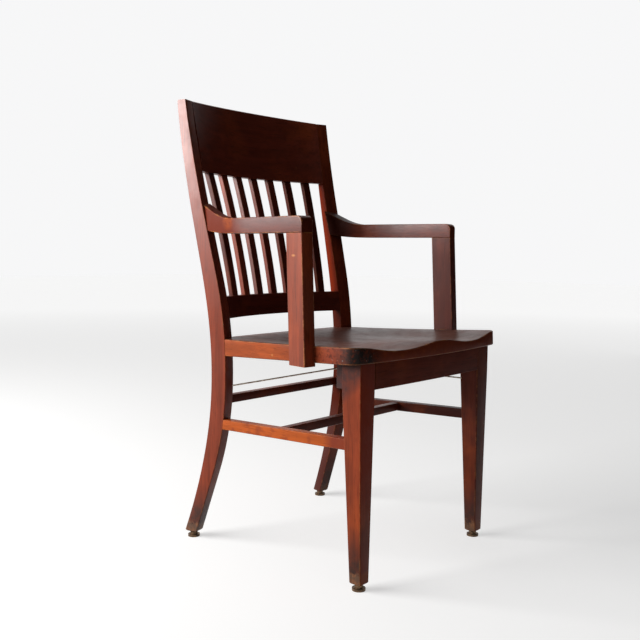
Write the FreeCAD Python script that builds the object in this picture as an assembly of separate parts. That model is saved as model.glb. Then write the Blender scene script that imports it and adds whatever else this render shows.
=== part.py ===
"""Wooden library armchair: saddle seat, hollow slatted back, square tapered front legs."""
import FreeCAD, Part
import math
import os

V = FreeCAD.Vector
UP = V(0, 0, 1)
ORIGIN = V(0, 0, 0)
ACROSS = V(1, 0, 0)

# Millimetres and degrees. X runs across the chair, Y from its front to its back, Z up.

# Rear posts: sawn to a curve, each standing in an upright plane that opens out to the back
POST_TOP = 900.0
POST_W = 30.2
POST_TOE = 10.9
POST_SEAT_INSET = 29.0
POST_FRONT_Y = 168.4
POST_DEPTH_FOOT = 25.5
POST_DEPTH_SEAT = 32.5
POST_DEPTH_CREST = 20.0
POST_DEPTH_TOP = 15.0
POST_FOOT_TAPER = 5.6
POST_TOP_TAPER = 3.3
POST_FRONT_SKEW = 1.7
POST_REAR_SKEW = 3.5
POST_EASE = 1.6
POST_TOP_EASE = 4.0
LEG_SWEEP = 19.0
LEG_BEND_R = 610.0
LEG_BEND_Z = 342.0
BACK_BEND_Z = 350.0
BACK_BEND_R = 771.0
BACK_BEND_LAG = 13.0
BACK_RAKE = 14.15
TOP_BEND_Z = 685.0
TOP_RAKE = 9.1

# Hollow of the back, with its two rails and the slats between them
BACK_R = 487.0
CREST_BOTTOM = 758.0
CREST_T = 19.0
CREST_CROWN = 7.0
CREST_EASE = 2.2
CREST_TENON_INSET = 18.0
BACK_RAIL_BOTTOM = 461.0
BACK_RAIL_TOP = 505.0
BACK_RAIL_T = 18.0
BACK_RAIL_TENON_INSET = 8.0
BACK_TENON_T = 8.0
BACK_TENON_L = 16.0
BACK_TENON_ROOT = 6.0
SLAT_PAIRS = 3
SLAT_W = 19.0
SLAT_T = 11.0
SLAT_END_GAP = 30.3
SLAT_BOW = 4.5
SLAT_LET_IN = 9.0
SLAT_EASE = 1.2

# Seat: solid, pitched down to the back, hollowed with a pommel at the middle of its front
SEAT_UNDER = 396.3
SEAT_PITCH = 3.0
SEAT_T = 35.0
SEAT_FRONT_Y = -195.0
SEAT_FRONT_HALF = 241.5
SEAT_FRONT_BOW = 23.0
SEAT_REAR_Y = 193.0
SEAT_REAR_BOW = 9.0
SEAT_TAPER = 6.1
SEAT_CORNER_R = 20.0
SEAT_EASE = 1.8
SEAT_SIDE_DROP = 5.0
SEAT_DISH = 12.5
SEAT_DISH_ACROSS = (0.52, 0.99)
SEAT_DISH_ALONG = (0.5, 0.97)
SEAT_POMMEL = 9.5
SEAT_POMMEL_HALF = 110.0
SEAT_POMMEL_ALONG = 0.6
SEAT_HOUSING = 6.0
SEAT_HOUSING_WALL = 4.0

# Front legs, the apron between them and the blocks behind their tops
LEG_SIDE_INSET = 45.5
LEG_Y = -170.5
LEG_FOOT_FORWARD = 7.0
LEG_W = 42.0
LEG_FOOT_W = 25.6
LEG_STRAIGHT_Z = 354.0
LEG_EASE = 1.8
FOOT_EASE = 2.4
LEG_TENON_D = 25.0
LEG_TENON_L = 16.0
APRON_BOTTOM = 357.5
APRON_T = 20.0
APRON_BOW = 4.0
APRON_EASE = 1.5
APRON_TENON_T = 9.0
APRON_TENON_H = 28.0
APRON_TENON_L = 16.0
BLOCK_D = 22.0
BLOCK_W = 34.0
BLOCK_INSET = 12.0

# Stretchers and the rail between the rear posts
SIDE_STRETCHER = 20.0
SIDE_STRETCHER_FRONT_Z = 260.0
SIDE_STRETCHER_REAR_Z = 248.5
SIDE_STRETCHER_LEG_OFFSET = 2.0
SIDE_STRETCHER_POST_OFFSET = 19.8
SIDE_TENON = 11.0
CROSS_STRETCHER = 17.0
CROSS_STRETCHER_Y = 21.0
CROSS_TENON = 9.0
REAR_RAIL = 17.0
REAR_RAIL_Z = 294.0
REAR_RAIL_SETBACK = 15.0
REAR_RAIL_TENON = 10.0
STRETCHER_TENON_L = 13.0
STRETCHER_EASE = 1.2

# Arms and their posts
ARM_W = 26.5
ARM_TOP = 660.5
ARM_H = 30.0
ARM_HOUSING = 4.7
ARM_FRONT_Y = -87.0
ARM_INWARD = 3.0
ARM_NOSE_R = 11.0
ARM_RISE_START = 219.0
ARM_RISE_SKEW = 7.0
ARM_RISE_R = 146.0
ARM_RISE_ANGLE = 24.2
ARM_UNDER_R = 560.0
ARM_UNDER_ANGLE = 10.0
ARM_EASE = 1.6
ARM_POST_DEPTH = 44.0
ARM_POST_LEAN = 2.8
ARM_POST_DROP = 6.0
ARM_TENON_D = 15.0
ARM_TENON_L = 15.0

# Diagonal tie wires and the hook that holds their crossing up
WIRE_D = 3.0
WIRE_REAR_Z = 322.0
WIRE_FRONT_Z = 334.0
WIRE_MIDDLE_Z = 363.0
WIRE_BEND_R = 30.0
WIRE_LET_IN = 7.0
HOOK_D = 4.0
HOOK_FOOT_D = 3.4
HOOK_REACH = 6.5
HOOK_LET_IN = 14.0

# Metal glides under the feet
GLIDE_H = 12.0
GLIDE_D = 24.5
GLIDE_RIM = 4.5
GLIDE_NECK_D = 15.0
GLIDE_STEM_D = 6.0
GLIDE_STEM_L = 20.0

# Screws, plugs and dowels
SCREW_D = 5.0
SCREW_HEAD_D = 9.5
SCREW_HEAD_H = 4.0
SCREW_GRIP = 26.0
PLUG_L = 7.0
DOWEL_D = 9.0
DOWEL_L = 30.0
DOWEL_SPACING = 20.0
DOWEL_COVER = 10.0

# Clearances of wood in its socket, of metal in its hole, and at the bottom of blind holes
WOOD_FIT = 0.15
METAL_FIT = 0.1
END_ROOM = 0.5
BIG = 600.0


def mirrored(shape):
    return shape.mirror(ORIGIN, ACROSS)


def outline_face(points):
    return Part.Face(Part.makePolygon(points + [points[0]]))


def prism(points, along):
    return outline_face(points).extrude(along)


def rod(start, end, diameter):
    along = end - start
    return Part.makeCylinder(diameter / 2, along.Length, start, along)


def bar(start, end, width, height):
    """A straight square-edged bar whose width is level."""
    along = end - start
    side = along.cross(UP).normalize() * (width / 2)
    rise = side.cross(along).normalize() * (height / 2)
    corners = [start - side - rise, start + side - rise, start + side + rise, start - side + rise]
    return prism(corners, along)


def parallel_edges(shape, direction):
    unit = V(direction).normalize()
    found = []
    for edge in shape.Edges:
        span = edge.lastVertex().Point - edge.firstVertex().Point
        if span.Length > 0 and abs(span.normalize().dot(unit)) > 0.9999:
            found.append(edge)
    return found


def eased_bar(start, end, width, height, ease):
    shape = bar(start, end, width, height)
    return shape.makeChamfer(ease, parallel_edges(shape, end - start))


def eased_rectangle(corner, along, up, ease):
    """Points round a rectangle from one corner and its two sides, its corners cut off a little."""
    sides = [along, up, along * -1, up * -1]
    points = []
    start = corner
    for side in sides:
        way = V(side).normalize()
        end = start + side
        points += [start + way * ease, end - way * ease]
        start = end
    return points


def tapered(outlines):
    """A solid with flat sides that joins similar outlines, one over the other."""
    faces = [outline_face(outlines[0]), outline_face(outlines[-1])]
    for low, high in zip(outlines, outlines[1:]):
        for i in range(len(low)):
            faces.append(outline_face([low[i - 1], low[i], high[i], high[i - 1]]))
    return Part.makeSolid(Part.makeShell(faces))


def sin(degrees):
    return math.sin(math.radians(degrees))


def cos(degrees):
    return math.cos(math.radians(degrees))


def tan(degrees):
    return math.tan(math.radians(degrees))


# Width and underside of the seat, which the frame round it follows

def seat_half(y):
    return SEAT_FRONT_HALF - (y - SEAT_FRONT_Y) * tan(SEAT_TAPER)


def seat_under(y):
    return SEAT_UNDER - y * tan(SEAT_PITCH)


# Rear posts

POST_INNER_X = seat_half(POST_FRONT_Y) - POST_SEAT_INSET
POST_BACK = V(sin(POST_TOE), cos(POST_TOE), 0)
POST_OUT = V(cos(POST_TOE), -sin(POST_TOE), 0)


def on_post(n, z, w=0.0):
    """A point of the right post: n back from its foremost line, w out from its inner face."""
    return V(POST_INNER_X, POST_FRONT_Y, z) + POST_BACK * n + POST_OUT * w


def leg_bend_low():
    return LEG_BEND_Z - LEG_BEND_R * sin(LEG_SWEEP)


def back_bend_high(bend_z):
    return bend_z + BACK_BEND_R * sin(BACK_RAKE)


def post_front(z, bend_z=BACK_BEND_Z):
    """How far the inner front edge of a post lies behind its foremost line at height z."""
    if z < leg_bend_low():
        return LEG_BEND_R * (1 - cos(LEG_SWEEP)) + (leg_bend_low() - z) * tan(LEG_SWEEP)
    if z < LEG_BEND_Z:
        return LEG_BEND_R - math.sqrt(LEG_BEND_R ** 2 - (LEG_BEND_Z - z) ** 2)
    if z < bend_z:
        return 0.0
    if z < back_bend_high(bend_z):
        return BACK_BEND_R - math.sqrt(BACK_BEND_R ** 2 - (z - bend_z) ** 2)
    straight = min(z, TOP_BEND_Z) - back_bend_high(bend_z)
    n = BACK_BEND_R * (1 - cos(BACK_RAKE)) + straight * tan(BACK_RAKE)
    if z <= TOP_BEND_Z:
        return n
    radius = (POST_TOP - TOP_BEND_Z) / (sin(BACK_RAKE) - sin(TOP_RAKE))
    slope = math.asin(sin(BACK_RAKE) - (z - TOP_BEND_Z) / radius)
    return n + radius * (math.cos(slope) - cos(BACK_RAKE))


def post_depth(z):
    stations = [GLIDE_H, seat_under(POST_FRONT_Y), CREST_BOTTOM, POST_TOP]
    depths = [POST_DEPTH_FOOT, POST_DEPTH_SEAT, POST_DEPTH_CREST, POST_DEPTH_TOP]
    for i in range(3):
        if z <= stations[i + 1]:
            share = (z - stations[i]) / (stations[i + 1] - stations[i])
            return depths[i] + share * (depths[i + 1] - depths[i])
    return POST_DEPTH_TOP


def post_rear(z, w):
    return post_front(z) + post_depth(z) + POST_REAR_SKEW * w / POST_W


def post_outline(w, more_depth):
    """Side outline of a post in the plane w out from its inner face."""
    share = w / POST_W
    bend_z = BACK_BEND_Z + BACK_BEND_LAG * share
    heights = [GLIDE_H, leg_bend_low(), LEG_BEND_Z, bend_z, back_bend_high(bend_z), TOP_BEND_Z, POST_TOP]

    def front(z):
        return on_post(post_front(z, bend_z) - POST_FRONT_SKEW * share, z, w)

    edges = []
    for i in range(6):
        low, high = heights[i], heights[i + 1]
        if i % 2:
            edges.append(Part.Arc(front(low), front((low + high) / 2), front(high)).toShape())
        else:
            edges.append(Part.makeLine(front(low), front(high)))
    count = 7
    high = POST_TOP - POST_TOP_EASE
    corner = on_post(post_rear(POST_TOP, w) + more_depth - POST_TOP_EASE, POST_TOP, w)
    rear = []
    for i in range(count):
        z = high + (GLIDE_H - high) * i / (count - 1)
        rear.append(on_post(post_rear(z, w) + more_depth, z, w))
    curve = Part.BSplineCurve()
    curve.interpolate(rear)
    edges.append(Part.makeLine(front(POST_TOP), corner))
    edges.append(Part.makeLine(corner, rear[0]))
    edges.append(curve.toShape())
    edges.append(Part.makeLine(rear[-1], front(GLIDE_H)))
    return Part.Wire(edges)


def post_slab(inner, outer, more_depth=0.0):
    """The post's stock between two upright planes, inner and outer out from its inner face."""
    return Part.makeLoft([post_outline(inner, more_depth), post_outline(outer, more_depth)], True, True)


def outer_taper(z_full, z_end, taper):
    """What is planed off the outer face between the height where it is full and the post's end."""
    over = z_end + (z_end - z_full) / abs(z_end - z_full)
    corners = [on_post(-BIG, z_full, POST_W), on_post(-BIG, over, POST_W - taper),
               on_post(-BIG, over, POST_W * 2), on_post(-BIG, z_full, POST_W * 2)]
    return prism(corners, POST_BACK * 2 * BIG)


def post_blank():
    shape = post_slab(0, POST_W)
    foot = outer_taper(LEG_BEND_Z, GLIDE_H, POST_FOOT_TAPER)
    top = outer_taper(TOP_BEND_Z, POST_TOP, POST_TOP_TAPER)
    return shape.cut(foot).cut(top)


def post_foot_limit():
    """A block that widens upwards from the foot and cuts off the edges of the sole."""
    outlines = []
    for rise in (0.0, POST_TOP):
        out = rise - FOOT_EASE
        front, rear = post_front(GLIDE_H) - out, post_rear(GLIDE_H, 0) + out
        inner, outer = -out, POST_W - POST_FOOT_TAPER + out
        z = GLIDE_H + rise
        outlines.append([on_post(front, z, inner), on_post(rear, z, inner), on_post(rear, z, outer),
                         on_post(front, z, outer)])
    return tapered(outlines)


def long_edges(shape, length):
    return [edge for edge in shape.Edges if edge.Length > length]


def between_posts(shape):
    """The part of a shape that lies between the two posts' inner faces."""
    corners = [on_post(-BIG, -BIG), on_post(BIG, -BIG), on_post(BIG, -BIG, BIG), on_post(-BIG, -BIG, BIG)]
    outside = prism(corners, UP * 3 * BIG)
    return shape.cut(outside).cut(mirrored(outside))


# Back

def back_band(low, high, thickness, top_room=0.0):
    """A board hollowed to the back's curve, its front flush with the posts and raked as they are."""
    ends = []
    for z in (low, high):
        corner = on_post(post_front(z), z)
        hollow = BACK_R - math.sqrt(BACK_R ** 2 - corner.x ** 2)
        ends.append(V(0, corner.y + hollow, z))
    rake = (ends[1] - ends[0]) * ((high + top_room - low) / (high - low))
    centre = ends[0] - V(0, BACK_R, 0)
    reach = POST_INNER_X + POST_W * 2
    arcs = []
    for radius in (BACK_R, BACK_R + thickness):
        half = math.asin(reach / radius)
        points = []
        for angle in (-half, 0, half):
            points.append(centre + V(math.sin(angle), math.cos(angle), 0) * radius)
        arcs.append(points)
    front, rear = arcs
    wire = Part.Wire([Part.Arc(*front).toShape(), Part.makeLine(front[2], rear[2]),
                      Part.Arc(*reversed(rear)).toShape(), Part.makeLine(rear[0], front[0])])
    return Part.Face(wire).extrude(rake)


def back_front_y(x, z):
    """Front of the back's hollow at a place between the posts."""
    corner = on_post(post_front(z), z)
    return corner.y + math.sqrt(BACK_R ** 2 - x ** 2) - math.sqrt(BACK_R ** 2 - corner.x ** 2)


def back_tenon(low, high, thickness, grow=0.0):
    """Right tenon of a back rail, standing square to the post's inner face."""
    middle = thickness / 2
    half = BACK_TENON_T / 2 + grow
    low, high = low - grow, high + grow
    n_low, n_high = post_front(low) + middle, post_front(high) + middle
    start = -BACK_TENON_ROOT
    corners = [on_post(n_low - half, low, start), on_post(n_low + half, low, start),
               on_post(n_high + half, high, start), on_post(n_high - half, high, start)]
    room = END_ROOM if grow else 0.0
    return prism(corners, POST_OUT * (BACK_TENON_ROOT + BACK_TENON_L + room))


def crest_tenon(grow=0.0):
    return back_tenon(CREST_BOTTOM + CREST_TENON_INSET, POST_TOP - CREST_TENON_INSET, CREST_T, grow)


def back_rail_tenon(grow=0.0):
    low = BACK_RAIL_BOTTOM + BACK_RAIL_TENON_INSET
    return back_tenon(low, BACK_RAIL_TOP - BACK_RAIL_TENON_INSET, BACK_RAIL_T, grow)


def crown_cutter():
    """All that lies over the crest's crowned top edge."""
    reach = POST_INNER_X + POST_W
    left, right = V(-reach, -BIG, POST_TOP), V(reach, -BIG, POST_TOP)
    arc = Part.Arc(left, V(0, -BIG, POST_TOP + CREST_CROWN), right).toShape()
    high = UP * BIG
    wire = Part.Wire([arc, Part.makeLine(right, right + high), Part.makeLine(right + high, left + high),
                      Part.makeLine(left + high, left)])
    return Part.Face(wire).extrude(V(0, 2 * BIG, 0))


def crest_rail():
    band = back_band(CREST_BOTTOM, POST_TOP, CREST_T, CREST_CROWN * 2).cut(crown_cutter())
    top = [edge for edge in long_edges(band, POST_INNER_X) if edge.CenterOfMass.z > POST_TOP - CREST_CROWN]
    board = between_posts(band.makeChamfer(CREST_EASE, top))
    return board.fuse([crest_tenon(), mirrored(crest_tenon())])


def lower_back_rail():
    band = back_band(BACK_RAIL_BOTTOM, BACK_RAIL_TOP, BACK_RAIL_T)
    board = between_posts(band.makeChamfer(STRETCHER_EASE, long_edges(band, POST_INNER_X)))
    return board.fuse([back_rail_tenon(), mirrored(back_rail_tenon())])


def slat_pitch(z):
    """Spacing of the slats at height z that leaves the end gap between the outermost one and the post."""
    return (on_post(post_front(z), z).x - SLAT_END_GAP - SLAT_W / 2) / SLAT_PAIRS


def slat(place, grow=0.0):
    """One slat, bowed forward a little, in the upright plane through its two ends."""
    low = V(slat_pitch(BACK_RAIL_TOP) * place, 0, BACK_RAIL_TOP)
    high = V(slat_pitch(CREST_BOTTOM) * place, 0, CREST_BOTTOM)
    low.y = back_front_y(low.x, low.z) + (BACK_RAIL_T - SLAT_T) / 2
    high.y = back_front_y(high.x, high.z) + (CREST_T - SLAT_T) / 2
    back = V(high.x - low.x, high.y - low.y, 0)
    lean = back.Length
    back.normalize()
    out = V(back.y, -back.x, 0)
    rise = high.z - low.z
    chord = math.hypot(lean, rise)
    radius = (chord ** 2 / 4 + SLAT_BOW ** 2) / (2 * SLAT_BOW)
    reach = (radius - SLAT_BOW) / chord
    centre_n = lean / 2 + rise * reach
    centre_z = low.z + rise / 2 - lean * reach
    centre = V(low.x, low.y, centre_z) + back * centre_n
    room = END_ROOM if grow else 0.0
    bottom = math.degrees(math.asin((low.z - SLAT_LET_IN - room - centre_z) / radius))
    top = math.degrees(math.asin((high.z + SLAT_LET_IN + room - centre_z) / radius))
    forward = UP * sin(bottom) - back * cos(bottom)
    corner = centre + forward * (radius - SLAT_T - grow) - out * (SLAT_W / 2 + grow)
    thick, wide = forward * (SLAT_T + 2 * grow), out * (SLAT_W + 2 * grow)
    if grow:
        section = [corner, corner + thick, corner + thick + wide, corner + wide]
    else:
        section = eased_rectangle(corner, thick, wide, SLAT_EASE)
    return outline_face(section).revolve(centre, out * -1, top - bottom)


# Seat

def pitched(shape):
    shape.rotate(ORIGIN, ACROSS, -SEAT_PITCH)
    shape.translate(UP * SEAT_UNDER)
    return shape


def fall(at, start, end):
    """One before start, nought after end, and a smooth fall between them."""
    place = min(max((at - start) / (end - start), 0), 1)
    return 0.5 + 0.5 * math.cos(math.pi * place)


def seat_hollow(x, y):
    """How far the top of the seat lies under its full thickness."""
    front = SEAT_FRONT_Y - SEAT_FRONT_BOW
    along = min(max((y - front) / (SEAT_REAR_Y - front), 0), 1)
    across = abs(x) / seat_half(y)
    rim = SEAT_SIDE_DROP * (1 - along ** 3)
    dish = SEAT_DISH * fall(across, *SEAT_DISH_ACROSS) * fall(along, *SEAT_DISH_ALONG)
    pommel = SEAT_POMMEL * fall(abs(x), 0, SEAT_POMMEL_HALF) * fall(along, 0, SEAT_POMMEL_ALONG)
    return rim + dish - pommel


def seat_top_cutter():
    columns, rows = 19, 13
    grid = []
    for i in range(columns):
        x = SEAT_FRONT_HALF * 1.1 * (2 * i / (columns - 1) - 1)
        line = []
        for j in range(rows):
            span = SEAT_REAR_Y - SEAT_FRONT_Y + 4 * SEAT_FRONT_BOW
            y = SEAT_FRONT_Y - 2 * SEAT_FRONT_BOW + span * j / (rows - 1)
            line.append(V(x, y, SEAT_T - seat_hollow(x, y)))
        grid.append(line)
    surface = Part.BSplineSurface()
    surface.interpolate(grid)
    return surface.toShape().extrude(UP * 2 * SEAT_T)


def seat_blank():
    front_left, front_right = V(-SEAT_FRONT_HALF, SEAT_FRONT_Y, 0), V(SEAT_FRONT_HALF, SEAT_FRONT_Y, 0)
    rear_half = seat_half(SEAT_REAR_Y)
    rear_left, rear_right = V(-rear_half, SEAT_REAR_Y, 0), V(rear_half, SEAT_REAR_Y, 0)
    front = Part.Arc(front_left, V(0, SEAT_FRONT_Y - SEAT_FRONT_BOW, 0), front_right).toShape()
    rear = Part.Arc(rear_right, V(0, SEAT_REAR_Y + SEAT_REAR_BOW, 0), rear_left).toShape()
    wire = Part.Wire([front, Part.makeLine(front_right, rear_right), rear,
                      Part.makeLine(rear_left, front_left)])
    blank = Part.Face(wire).extrude(UP * 2 * SEAT_T)
    corners = [e for e in parallel_edges(blank, UP) if e.CenterOfMass.y < 0]
    shape = blank.makeFillet(SEAT_CORNER_R, corners).cut(seat_top_cutter())
    rims = [e for e in shape.Edges if abs(e.tangentAt(e.FirstParameter).z) < 0.5]
    return pitched(shape.makeChamfer(SEAT_EASE, rims))


def under_seat(shape):
    """The part of a shape that lies under the seat's underside plane."""
    slab = Part.makeBox(2 * BIG, 2 * BIG, BIG, V(-BIG, -BIG, 0))
    return shape.cut(pitched(slab))


# Front frame

LEG_X = SEAT_FRONT_HALF - LEG_SIDE_INSET


def leg_section(width, y, z):
    """Points round a front leg at height z."""
    corner = V(LEG_X - width / 2, y - width / 2, z)
    return eased_rectangle(corner, V(width, 0, 0), V(0, width, 0), LEG_EASE)


def leg_tenon(grow=0.0):
    start = V(LEG_X, LEG_Y, LEG_STRAIGHT_Z)
    top = seat_under(LEG_Y) + LEG_TENON_L + (END_ROOM if grow else 0.0)
    return rod(start, V(LEG_X, LEG_Y, top), LEG_TENON_D + 2 * grow)


def leg_blank():
    foot_y = LEG_Y - LEG_FOOT_FORWARD
    sole = leg_section(LEG_FOOT_W - 2 * FOOT_EASE, foot_y, GLIDE_H)
    foot = leg_section(LEG_FOOT_W, foot_y, GLIDE_H + FOOT_EASE)
    knee = leg_section(LEG_W, LEG_Y, LEG_STRAIGHT_Z)
    top = leg_section(LEG_W, LEG_Y, seat_under(LEG_Y - LEG_W))
    return under_seat(tapered([sole, foot, knee, top]))


def apron_tenon(grow=0.0):
    """Right tenon of the apron, let into the front leg's inner face."""
    face = LEG_X - LEG_W / 2
    y = LEG_Y - LEG_W / 2 + APRON_T / 2
    z = (APRON_BOTTOM + seat_under(LEG_Y)) / 2
    end = face + APRON_TENON_L + (END_ROOM if grow else 0.0)
    return bar(V(face - APRON_T, y, z), V(end, y, z), APRON_TENON_T + 2 * grow, APRON_TENON_H + 2 * grow)


def front_apron():
    reach = LEG_X - LEG_W / 2
    front = LEG_Y - LEG_W / 2 - APRON_BOW
    radius = (reach ** 2 + APRON_BOW ** 2) / (2 * APRON_BOW)
    centre = V(0, front + radius, 0)
    half = math.degrees(math.asin((reach + APRON_T) / radius))
    rear, low, high = front + APRON_T, APRON_BOTTOM, SEAT_UNDER + LEG_W
    points = [V(0, front + APRON_EASE, low), V(0, rear - APRON_EASE, low), V(0, rear, low + APRON_EASE),
              V(0, rear, high), V(0, front, high), V(0, front, low + APRON_EASE)]
    band = outline_face(points).revolve(centre, UP, 2 * half)
    band.rotate(centre, UP, -half)
    board = band.common(Part.makeBox(2 * reach, 2 * BIG, 2 * BIG, V(-reach, -BIG, 0)))
    return under_seat(board).fuse([apron_tenon(), mirrored(apron_tenon())])


def leg_block():
    x = LEG_X + LEG_W / 2 - BLOCK_INSET
    y = LEG_Y + LEG_W / 2
    block = Part.makeBox(BLOCK_W, BLOCK_D, LEG_W * 2, V(x - BLOCK_W, y, APRON_BOTTOM))
    rear = [e for e in parallel_edges(block, UP) if e.CenterOfMass.y > y + 1]
    return under_seat(block.makeChamfer(STRETCHER_EASE, rear))


# Stretchers

def side_line(y):
    """Middle of the right side stretcher at a distance back."""
    share = (y - LEG_Y) / (POST_FRONT_Y - LEG_Y)
    front_x, rear_x = LEG_X + SIDE_STRETCHER_LEG_OFFSET, POST_INNER_X + SIDE_STRETCHER_POST_OFFSET
    x = front_x + share * (rear_x - front_x)
    z = SIDE_STRETCHER_FRONT_Z + share * (SIDE_STRETCHER_REAR_Z - SIDE_STRETCHER_FRONT_Z)
    return V(x, y, z)


def leg_rear(z):
    """Rear face of the front leg's tapered length at height z."""
    share = (LEG_STRAIGHT_Z - z) / (LEG_STRAIGHT_Z - GLIDE_H)
    return LEG_Y + LEG_W / 2 - share * (LEG_FOOT_FORWARD + (LEG_W - LEG_FOOT_W) / 2)


def side_tenons(grow=0.0):
    room = END_ROOM if grow else 0.0
    front = leg_rear(SIDE_STRETCHER_FRONT_Z) - STRETCHER_TENON_L - room
    rear = POST_FRONT_Y + post_front(SIDE_STRETCHER_REAR_Z) + STRETCHER_TENON_L + room
    size = SIDE_TENON + 2 * grow
    return bar(side_line(front), side_line(rear), size, size)


def cross_tenons(grow=0.0):
    middle = side_line(CROSS_STRETCHER_Y)
    reach = middle.x - SIDE_STRETCHER / 2 + STRETCHER_TENON_L + (END_ROOM if grow else 0.0)
    size = CROSS_TENON + 2 * grow
    return bar(V(-reach, middle.y, middle.z), V(reach, middle.y, middle.z), size, size)


def side_stretcher(leg, behind):
    front, rear = side_line(LEG_Y), side_line(POST_FRONT_Y + POST_DEPTH_SEAT)
    stick = eased_bar(front, rear, SIDE_STRETCHER, SIDE_STRETCHER, STRETCHER_EASE)
    stick = stick.cut(leg).cut(behind).fuse(side_tenons())
    return stick.cut(cross_tenons(WOOD_FIT))


def cross_stretcher():
    middle = side_line(CROSS_STRETCHER_Y)
    left, right = V(-middle.x, middle.y, middle.z), middle
    stick = eased_bar(left, right, CROSS_STRETCHER, CROSS_STRETCHER, STRETCHER_EASE)
    front, rear = side_line(LEG_Y), side_line(POST_FRONT_Y)
    side = bar(front, rear, SIDE_STRETCHER, SIDE_STRETCHER)
    return stick.cut(side).cut(mirrored(side)).fuse(cross_tenons())


def rear_rail_line(w):
    n = post_front(REAR_RAIL_Z) + REAR_RAIL_SETBACK + REAR_RAIL / 2
    y = on_post(n, REAR_RAIL_Z).y
    return V(on_post(n, REAR_RAIL_Z, w).x, y, REAR_RAIL_Z)


def rear_rail_tenons(grow=0.0):
    right = rear_rail_line(STRETCHER_TENON_L + (END_ROOM if grow else 0.0))
    left = V(-right.x, right.y, right.z)
    size = REAR_RAIL_TENON + 2 * grow
    return bar(left, right, size, size)


def rear_rail():
    right = rear_rail_line(POST_W / 2)
    left = V(-right.x, right.y, right.z)
    stick = eased_bar(left, right, REAR_RAIL, REAR_RAIL, STRETCHER_EASE)
    return between_posts(stick).fuse(rear_rail_tenons())


# Arms

ARM_FRONT_X = seat_half(ARM_FRONT_Y) - ARM_HOUSING
ARM_REAR = on_post(post_front(ARM_TOP), ARM_TOP, -ARM_INWARD)
ARM_SPLAY = math.degrees(math.atan2(ARM_FRONT_X - ARM_REAR.x, ARM_REAR.y - ARM_FRONT_Y))
ARM_BACK = V(-sin(ARM_SPLAY), cos(ARM_SPLAY), 0)
ARM_OUT = V(cos(ARM_SPLAY), sin(ARM_SPLAY), 0)


def on_arm(s, z, w=0.0):
    """A point of the right arm: s back from its front end, w out from its inner face."""
    return V(ARM_FRONT_X, ARM_FRONT_Y, z) + ARM_BACK * s + ARM_OUT * w


def arm_trim(level, radius, angle, end, limit):
    """All beyond the arm's top or underside line: level, then turning up to meet the post."""

    def turned(share):
        return on_arm(ARM_RISE_START + radius * sin(angle * share), level + radius * (1 - cos(angle * share)))

    start, bend = on_arm(-ARM_W, level), turned(0)
    rise_end = on_arm(end, turned(1).z + (end - ARM_RISE_START - radius * sin(angle)) * tan(angle))
    far_start, far_end = on_arm(-ARM_W, limit), on_arm(end, limit)
    wire = Part.Wire([Part.makeLine(start, bend), Part.Arc(bend, turned(0.5), turned(1)).toShape(),
                      Part.makeLine(turned(1), rise_end), Part.makeLine(rise_end, far_end),
                      Part.makeLine(far_end, far_start), Part.makeLine(far_start, start)])
    across = ARM_OUT * ARM_W - ARM_BACK * ARM_RISE_SKEW
    trim = Part.Face(wire).extrude(across * 3)
    trim.translate(across * -1)
    return trim


def arm_blank():
    """The arm before its rear end is cut to the post."""
    under = ARM_TOP - ARM_H
    end = (ARM_REAR.y - ARM_FRONT_Y) / cos(ARM_SPLAY) + POST_DEPTH_TOP
    over = end + 2 * ARM_RISE_SKEW
    low, high = under - ARM_H, ARM_TOP + ARM_RISE_R
    corners = [on_arm(0, low + 1), on_arm(end, low + 1), on_arm(end, high - 1), on_arm(0, high - 1)]
    stock = prism(corners, ARM_OUT * ARM_W)
    shape = stock.cut(arm_trim(ARM_TOP, ARM_RISE_R, ARM_RISE_ANGLE, over, high))
    shape = shape.cut(arm_trim(under, ARM_UNDER_R, ARM_UNDER_ANGLE, over, low))
    front = on_arm(0, 0).y + 2 * ARM_W * sin(ARM_SPLAY)
    nose = [e for e in parallel_edges(shape, ARM_OUT)
            if e.CenterOfMass.y < front and e.CenterOfMass.z > under + 1]
    shape = shape.makeFillet(ARM_NOSE_R, nose)
    rear = on_arm(end, 0).y - 1
    sides = [e for e in shape.Edges if abs(e.tangentAt(e.FirstParameter).dot(ARM_OUT)) < 0.1]
    return shape.makeChamfer(ARM_EASE, [e for e in sides if e.CenterOfMass.y < rear])


def arm_tenon(grow=0.0):
    top = ARM_TOP - ARM_H + ARM_TENON_L + (END_ROOM if grow else 0.0)
    foot = on_arm(ARM_POST_DEPTH / 2, ARM_TOP - ARM_H - ARM_TENON_L, ARM_W / 2)
    return rod(foot, V(foot.x, foot.y, top), ARM_TENON_D + 2 * grow)


def arm_post_blank():
    top = ARM_TOP - ARM_H
    bottom = seat_under(ARM_FRONT_Y) - ARM_POST_DROP
    lean = (top - bottom) * tan(ARM_POST_LEAN)
    profile = [on_arm(-lean, bottom), on_arm(ARM_POST_DEPTH - lean, bottom), on_arm(ARM_POST_DEPTH, top),
               on_arm(0, top)]
    shape = prism(profile, ARM_OUT * ARM_W)
    upright = parallel_edges(shape, profile[3] - profile[0])
    return shape.makeChamfer(ARM_EASE, upright)


def arm_post_dowels(grow=0.0):
    """Two dowels from the seat's edge into the right arm post."""
    room = END_ROOM if grow else 0.0
    dowels = []
    middle = on_arm(ARM_POST_DEPTH / 2, 0)
    z = seat_under(middle.y) + SEAT_T / 2 - SEAT_SIDE_DROP / 2
    for step in (-0.5, 0.5):
        s = ARM_POST_DEPTH / 2 + step * DOWEL_SPACING - (ARM_TOP - z) * tan(ARM_POST_LEAN)
        end = on_arm(s, z, ARM_W - DOWEL_COVER + room)
        dowels.append(rod(end - ARM_OUT * (DOWEL_L + 2 * room), end, DOWEL_D + 2 * grow))
    return dowels


# Tie wires

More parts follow.
